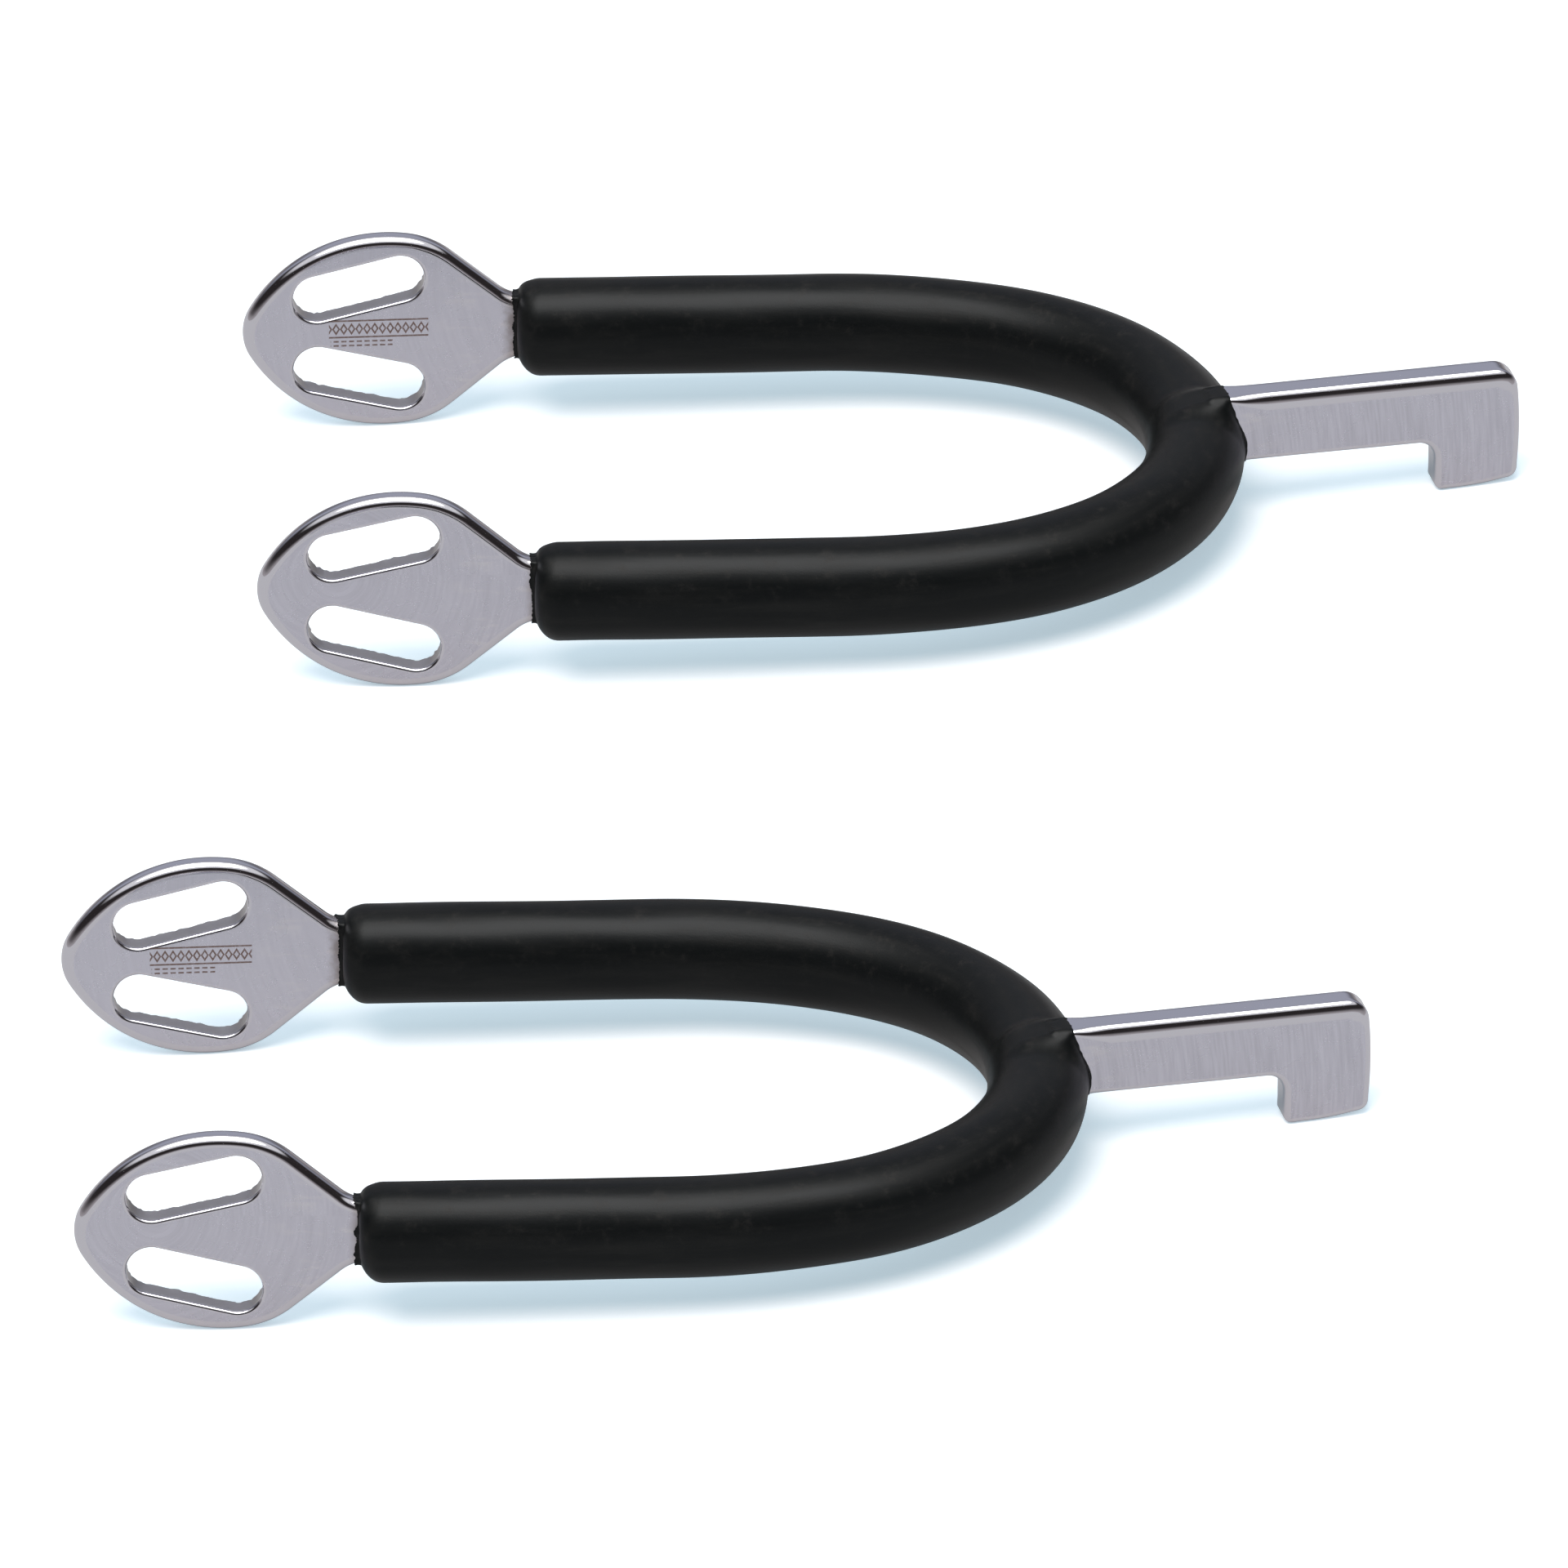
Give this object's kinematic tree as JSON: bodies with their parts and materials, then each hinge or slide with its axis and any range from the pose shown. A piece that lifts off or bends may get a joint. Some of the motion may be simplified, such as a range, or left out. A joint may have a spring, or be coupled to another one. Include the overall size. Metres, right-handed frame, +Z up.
{
  "type": "spurs",
  "caption": "Pair of English riding spurs: rubber-covered U-shaped heel yoke, slotted strap plates at the arm ends, and a flat neck that turns down at its tip.",
  "frame": {"origin": "centre of the pair's footprint on the surface that both spurs stand on", "axes": "+X from the strap plates towards the necks, +Y from the right spur to the left one, +Z up"},
  "size_m": [0.181, 0.26, 0.0254],
  "materials": {
    "rod_steel": "plain drawn stainless rod, hidden in the rubber",
    "plate_steel": "fine satin faces with polished rims",
    "neck_steel": "fine satin sides with polished edges",
    "sleeve_rubber": "matt black moulded rubber"
  },
  "bodies": {
    "left_spur": {"left_heel_rod": "rod_steel", "left_near_strap_plate": "plate_steel", "left_far_strap_plate": "plate_steel", "left_neck": "neck_steel", "left_rubber_sleeve": "sleeve_rubber"},
    "right_spur": {"right_heel_rod": "rod_steel", "right_near_strap_plate": "plate_steel", "right_far_strap_plate": "plate_steel", "right_neck": "neck_steel", "right_rubber_sleeve": "sleeve_rubber"}
  },
  "joints": [
    {"name": "right_spur_lift", "type": "slide", "parent": "left_spur", "child": "right_spur", "axis": [0, 0, 1], "range_m": [0, 0.12]}
  ]
}
